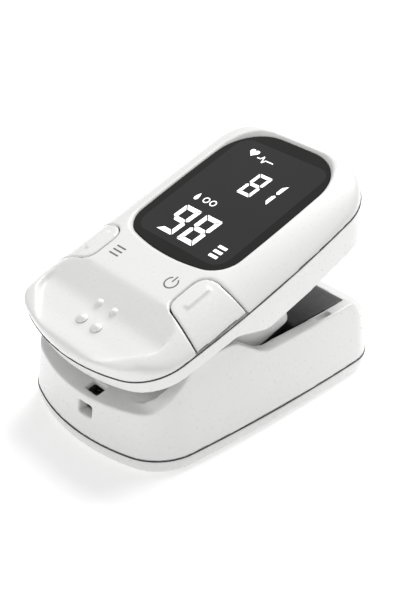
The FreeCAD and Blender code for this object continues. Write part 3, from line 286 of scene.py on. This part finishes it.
def press_end(p):
    """Full at the nose and the thumb recess, nothing near the seam, the buttons and the lens."""
    if abs(p.x) > BUTTONS_PAST_X and p.y > BUTTONS_PAST_Y:
        return 0.0
    over_seam = min(max((p.z - SEAM - EASED_ABOVE_SEAM) / FADE_UP, 0.0), 1.0)
    return over_seam * min(max((PRESS_END_FROM - p.y) / FADE_ALONG, 0.0), 1.0)


# %% Ease the corners of a solid
WELD = 0.002 * MM


def softened(node, name, body, voxel, passes, share=None):
    """A copy of a solid with every corner eased, riding where the solid rides.

    share gives how much a point, in the closed clip's mm, takes of a long second easing."""
    lies_closed = body not in ("base", "battery_door")
    rough = bpy.data.objects.new(name + "_rough", nodes[node].data.copy())
    bpy.context.scene.collection.objects.link(rough)
    if lies_closed:
        rough.data.transform(closed)
    joined = bmesh.new()
    joined.from_mesh(rough.data)
    bmesh.ops.remove_doubles(joined, verts=joined.verts, dist=WELD)
    joined.to_mesh(rough.data)
    joined.free()
    even = rough.modifiers.new("even", "REMESH")
    even.mode = "VOXEL"
    even.voxel_size = voxel * MM
    even.use_smooth_shade = True
    ease = rough.modifiers.new("ease", "SMOOTH")
    ease.factor = EASE_FACTOR
    ease.iterations = passes
    bpy.context.view_layer.update()
    graph = bpy.context.evaluated_depsgraph_get()
    mesh = bpy.data.meshes.new_from_object(rough.evaluated_get(graph))
    bpy.data.objects.remove(rough)
    if share:
        mesh = eased_where(mesh, share)
    if lies_closed:
        mesh.transform(opened)
    mesh.name = name
    piece = bpy.data.objects.new(name, mesh)
    bpy.context.scene.collection.objects.link(piece)
    mesh.materials.clear()
    mesh.materials.append(finishes[slot_of[node]])
    mesh.polygons.foreach_set("use_smooth", [True] * len(mesh.polygons))
    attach(piece, body)
    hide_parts(node)
    print(name, "faces:", len(mesh.polygons))
    return piece


# %% The white shells and the two buttons
FINE = 0.2
skins = {}
for node, body, passes in (("base_shell", "base", 8), ("bottom_tray", "base", 8), ("jaw_frame", "jaw", 8),
                           ("top_cover", "jaw", 8), ("power_button", "power_button", 6),
                           ("mode_button", "mode_button", 6), ("battery_door", "battery_door", 5)):
    share = press_end if node == "top_cover" else None
    skins[node] = softened(node, node + "_skin", body, FINE, passes, share)

# %% [markdown]
# ## Painted seam shadows and thumb dots
# Where two shells meet, the eye sees a hair of shadow. Two thin dark beads lie in the open seams as
# painted shadow, one round the tray and one round the jaw. Their path is read from the outer corners of
# the solids at the height of the seam, so a bead always fits its shell. Four small domes in the thumb
# recess tell the thumb where to press.

# %% A bead of painted shadow along a seam
TRAY_SEAM = 3.0
LEVEL_BAND = 0.08
BEAD_INSET, BEAD_RADIUS = 0.01, 0.11


def outer_ring(node, height, turn):
    """The border of a solid near a height, seen from above, in order: its convex hull, in mm."""
    corners = (turn @ v.co / MM for v in nodes[node].data.vertices)
    level = sorted({(round(p.x, 3), round(p.y, 3)) for p in corners if abs(p.z - height) < LEVEL_BAND})
    border = []
    for run in (level, level[::-1]):
        half = []
        for x, y in run:
            while len(half) > 1 and ((half[-1][0] - half[-2][0]) * (y - half[-2][1])
                                     <= (half[-1][1] - half[-2][1]) * (x - half[-2][0])):
                half.pop()
            half.append((x, y))
        border += half[:-1]
    middle = Vector(((level[0][0] + level[-1][0]) / 2, sum(y for _, y in border) / len(border), height))
    return middle, [Vector((x, y, height)) for x, y in border]


def bead(name, node, height, lift, body, turn):
    """A thin dark tube that follows a seam just inside the outer skin: painted shadow in the gap."""
    middle, path = outer_ring(node, height, turn.inverted())
    data = bpy.data.curves.new(name + "_path", "CURVE")
    data.dimensions = "3D"
    data.bevel_depth = BEAD_RADIUS * MM
    data.bevel_resolution = 3
    spline = data.splines.new("POLY")
    spline.points.add(len(path) - 1)
    for point, p in zip(spline.points, path):
        flat = Vector((p.x - middle.x, p.y - middle.y, 0))
        inside = Vector((p.x, p.y, height + lift)) - flat.normalized() * BEAD_INSET
        point.co = (*(turn @ (inside * MM)), 1.0)
    spline.use_cyclic_u = True
    guide = bpy.data.objects.new(name + "_path", data)
    mesh = bpy.data.meshes.new_from_object(guide)
    bpy.data.objects.remove(guide)
    mesh.name = name
    piece = bpy.data.objects.new(name, mesh)
    bpy.context.scene.collection.objects.link(piece)
    # the black finish here is painted shadow in the seam gap, not a dark part of the clip
    mesh.materials.append(finishes["black_plastic"])
    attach(piece, body)
    print(name, "points:", len(path))


# both dark beads are painted seam shadow
bead("tray_seam_shadow", "bottom_tray", TRAY_SEAM, 0.075, "base", Matrix.Identity(4))
bead("jaw_seam_shadow", "jaw_frame", SEAM, 0.04, "jaw", opened)

# %% Four thumb dots
DOT_RADIUS, DOT_RISE, DOT_RINGS, DOT_SIDES = 1.12, 0.62, 8, 32
DOT_SINK, DOT_FLANK = 0.08, 0.8
DOT_PLACES = ((-2.0, -22.8), (2.0, -22.8), (-2.0, -18.8), (2.0, -18.8))
RAY_LIFT = 5


def dome(place, normal, radius, rise):
    """A round dome that stands on a point along its normal, closed below; its rim flows out softly."""
    turn = normal.to_track_quat("Z", "Y").to_matrix()
    verts = [place + turn @ (Vector((0, 0, rise - DOT_SINK)) * MM)]
    for k in range(1, DOT_RINGS + 1):
        share = k / DOT_RINGS
        height = rise * (0.5 + 0.5 * math.cos(math.pi * share)) ** DOT_FLANK - DOT_SINK
        for i in range(DOT_SIDES):
            way = 2 * math.pi * i / DOT_SIDES
            local = Vector((radius * share * math.cos(way), radius * share * math.sin(way), height))
            verts.append(place + turn @ (local * MM))
    faces = [(0, 1 + i, 1 + (i + 1) % DOT_SIDES) for i in range(DOT_SIDES)]
    for k in range(DOT_RINGS - 1):
        first, after = 1 + k * DOT_SIDES, 1 + (k + 1) * DOT_SIDES
        faces += [(first + i, after + i, after + (i + 1) % DOT_SIDES, first + (i + 1) % DOT_SIDES)
                  for i in range(DOT_SIDES)]
    faces.append(tuple(reversed([1 + (DOT_RINGS - 1) * DOT_SIDES + i for i in range(DOT_SIDES)])))
    return verts, faces


down = opened.to_3x3() @ Vector((0, 0, -1))
for number, (x, y) in enumerate(DOT_PLACES, 1):
    above = opened @ (Vector((x, y, COVER_TOP + RAY_LIFT)) * MM)
    _, place, normal, _ = skins["top_cover"].ray_cast(above, down)
    dot = mesh_object("thumb_dot_%d" % number, *dome(place, normal, DOT_RADIUS, DOT_RISE))
    dot.data.materials.append(finishes["white_shell"])
    dot.data.polygons.foreach_set("use_smooth", [True] * len(dot.data.polygons))
    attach(dot, "jaw")
print("thumb dots:", len(DOT_PLACES))

# %% [markdown]
# ## The finger pads
# The pads are soft silicone that a finger presses, thick and full, with round edges. They get the same
# treatment as the shells with more passes, so their edges roll over like rubber. No cloth is simulated:
# silicone this firm hardly sags.

# %% The two pads
PAD_VOXEL, PAD_PASSES = FINE * 1.2, 14
for node, body in (("lower_pad", "base"), ("upper_pad", "jaw")):
    softened(node, node + "_soft", body, PAD_VOXEL, PAD_PASSES)

# %% [markdown]
# ## Flat marks on the tilted jaw
# The lit segments and the printed marks are thin films. Each is drawn as a flat outline in the closed
# jaw's own millimetres, given a hair of thickness, and turned open with the jaw. Thin solids keep a clean
# edge at any distance, which a picture on the lens would not.

# %% Thin films
FILM = 0.03


def film(name, outlines, height, material):
    """Flat outlines, each a list of (x, y) corners, as one thin piece on the jaw."""
    verts, faces = [], []
    for outline in outlines:
        count, first = len(outline), len(verts)
        for lift in (0.0, FILM):
            verts += [opened @ (Vector((x, y, height + lift)) * MM) for x, y in outline]
        faces.append(tuple(first + i for i in reversed(range(count))))
        faces.append(tuple(first + count + i for i in range(count)))
        for i in range(count):
            after = (i + 1) % count
            faces.append((first + i, first + after, first + count + after, first + count + i))
    piece = mesh_object(name, verts, faces)
    piece.data.materials.append(material)
    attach(piece, "jaw")
    print(name, "outlines:", len(outlines))


def line(a, b, width):
    """A straight stroke as four corners."""
    a, b = Vector(a), Vector(b)
    side = (b - a).normalized().orthogonal() * width / 2
    return [tuple(p) for p in (a - side, b - side, b + side, a + side)]


def ring(centre, radius, width, start, sweep, steps=36):
    """A circular stroke as a row of short quads, one outline each."""
    quads = []
    inner, outer = radius - width / 2, radius + width / 2
    for i in range(steps):
        first, last = (math.radians(start + sweep * (i + j) / steps) for j in (0, 1))
        quads.append([(centre[0] + r * math.cos(t), centre[1] + r * math.sin(t))
                      for r, t in ((inner, first), (outer, first), (outer, last), (inner, last))])
    return quads


# %% [markdown]
# ## The lit display
# Seven bars make a digit. Each bar is a long flat shape whose ends are mitred, so neighbours meet with a
# thin dark gap, and the whole digit leans a little to the right. A small glow lets the bars read as lit.

# %% The glow and the seven bars
DISPLAY_GLOW = 0.9
glow = finish("display_glow", (0.95, 0.95, 0.95), (1.0, 1.0, 1.0), (0.3, 0.4), 500.0, 0.0)
give_glow(glow, DISPLAY_GLOW)
BARS_OF = {"1": "bc", "8": "abcdefg", "9": "abcdfg"}
BAR_GAP, MITRE_SHARE = 0.17, 0.6


def digit(figure, left, low, width, high, thick, lean):
    """The lit bars of one digit as outlines; the mitred ends leave a thin gap."""
    middle = high / 2
    t, half, g = thick, thick / 2, BAR_GAP
    inner, tip = middle - half, half * MITRE_SHARE
    bars = {
        "a": [(g, high), (width - g, high), (width - t - g, high - t), (t + g, high - t)],
        "d": [(g, 0), (t + g, t), (width - t - g, t), (width - g, 0)],
        "b": [(width, high - g), (width, middle + g + tip), (width - half, middle + g),
              (width - t, inner + t + g), (width - t, high - t - g)],
        "c": [(width, g), (width - t, t + g), (width - t, inner - g), (width - half, middle - g),
              (width, middle - g - tip)],
        "f": [(0, high - g), (t, high - t - g), (t, inner + t + g), (half, middle + g),
              (0, middle + g + tip)],
        "e": [(0, g), (0, middle - g - tip), (half, middle - g), (t, inner - g), (t, t + g)],
        "g": [(half + g, middle), (t + g, middle + half), (width - t - g, middle + half),
              (width - half - g, middle), (width - t - g, middle - half), (t + g, middle - half)],
    }
    return [[(left + x + lean * y / high, low + y) for x, y in bars[b]] for b in BARS_OF[figure]]


def lit(name, outlines):
    """Lit figures, one film above the lens."""
    film(name, outlines, LENS_TOP + FILM, glow)


BIG = {"low": -0.8, "width": 4.1, "high": 7.4, "thick": 1.0, "lean": 0.45}
SMALL = {"low": 13.9, "width": 3.35, "high": 6.0, "lean": 0.35}
BAR_LEFT, BAR_RIGHT, BAR_HIGH = 7.1, 9.1, 0.62
lit("oxygen_number", digit("9", -6.75, **BIG) + digit("8", -1.25, **BIG))
lit("pulse_number", digit("8", -0.9, thick=0.72, **SMALL) + digit("1", 3.2, thick=0.80, **SMALL))
lit("level_bars", [[(BAR_LEFT, y), (BAR_RIGHT, y), (BAR_RIGHT, y + BAR_HIGH), (BAR_LEFT, y + BAR_HIGH)]
                   for y in (-0.8, 0.38, 1.56)])

# %% [markdown]
# ## The small signs on the display
# A heart stands beside the pulse, with a short trace of beats, and a drop with two small rings stands above
# the oxygen number. Signs like these need no words. The heart and the drop are smooth closed curves, worked
# out from sines.

# %% Heart, trace and drop
def curve(centre, scale, shape, steps=48):
    """A closed outline from a function of a turn."""
    return [(centre[0] + scale * x, centre[1] + scale * y)
            for x, y in (shape(2 * math.pi * i / steps) for i in range(steps))]


def heart(t):
    """A heart about one unit high."""
    return (math.sin(t) ** 3 * -0.58,
            (13 * math.cos(t) - 5 * math.cos(2 * t) - 2 * math.cos(3 * t) - math.cos(4 * t)) / 29)


def drop(t):
    """A drop with its point up, about one unit high."""
    return (-0.36 * math.sin(t) * math.sin(t / 2) ** 1.5, 0.5 * math.cos(t))


SIGN_HIGH = 1.9
BEATS = ((-4.5, 23.1), (-3.7, 23.1), (-3.3, 23.9), (-2.7, 22.3), (-2.3, 23.1), (-0.4, 23.1))
BEAT_WIDTH = 0.22
RING_RADIUS, RING_WIDTH = 0.62, 0.2
lit("heart_sign", [curve((-6.1, 23.9), SIGN_HIGH, heart)])
lit("beat_trace", [line(a, b, BEAT_WIDTH) for a, b in zip(BEATS, BEATS[1:])])
lit("drop_sign", [curve((-6.3, 9.3), SIGN_HIGH, drop)])
lit("oxygen_rings", ring((-4.0, 9.3), RING_RADIUS, RING_WIDTH, 0, 360)
    + ring((-2.2, 9.3), RING_RADIUS, RING_WIDTH, 0, 360))

# %% [markdown]
# ## The lighter field behind the lens
# Through smoked acrylic the lit area shows a touch lighter than the printed border. A thin film with
# rounded corners, lower than the bars, gives that second tone.

# %% The display field
def rounded(left, right_edge, low, high, radius, steps=10):
    """A rectangle with round corners as an outline."""
    corners = ((right_edge - radius, low + radius, -90), (right_edge - radius, high - radius, 0),
               (left + radius, high - radius, 90), (left + radius, low + radius, 180))
    return [(x + radius * math.cos(math.radians(start + 90 * i / steps)),
             y + radius * math.sin(math.radians(start + 90 * i / steps)))
            for x, y, start in corners for i in range(steps + 1)]


FIELD_RISE = 0.01
film("display_field", [rounded(-11.3, 11.3, -2.3, 26.6, 3.0)], LENS_TOP - FILM + FIELD_RISE,
     finishes["display_frame"])

# %% [markdown]
# ## Printed marks by the buttons
# Grey ink beside each button says what it does: a power sign on the right, and three menu lines on the
# left. They lie on the flat of the cover.

# %% Power sign and menu lines
ink = finish("grey_ink", (0.13, 0.13, 0.13), (0.17, 0.17, 0.17), (0.4, 0.5), 900.0, 0.1)
POWER = (7.4, -9.45)
POWER_RADIUS, POWER_STROKE = 1.25, 0.26
POWER_GAP_END, POWER_SWEEP = 122, 296
stem = line((POWER[0], POWER[1] + 0.2), (POWER[0], POWER[1] + 1.6), POWER_STROKE)
film("power_sign", ring(POWER, POWER_RADIUS, POWER_STROKE, POWER_GAP_END, POWER_SWEEP) + [stem],
     COVER_TOP, ink)
MENU_LEFT, MENU_RIGHT, MENU_MIDDLE, MENU_STROKE = -8.5, -6.1, -9.35, 0.3
film("menu_sign", [line((MENU_LEFT, MENU_MIDDLE + y), (MENU_RIGHT, MENU_MIDDLE + y), MENU_STROKE)
                   for y in (-0.95, 0.0, 0.95)], COVER_TOP, ink)
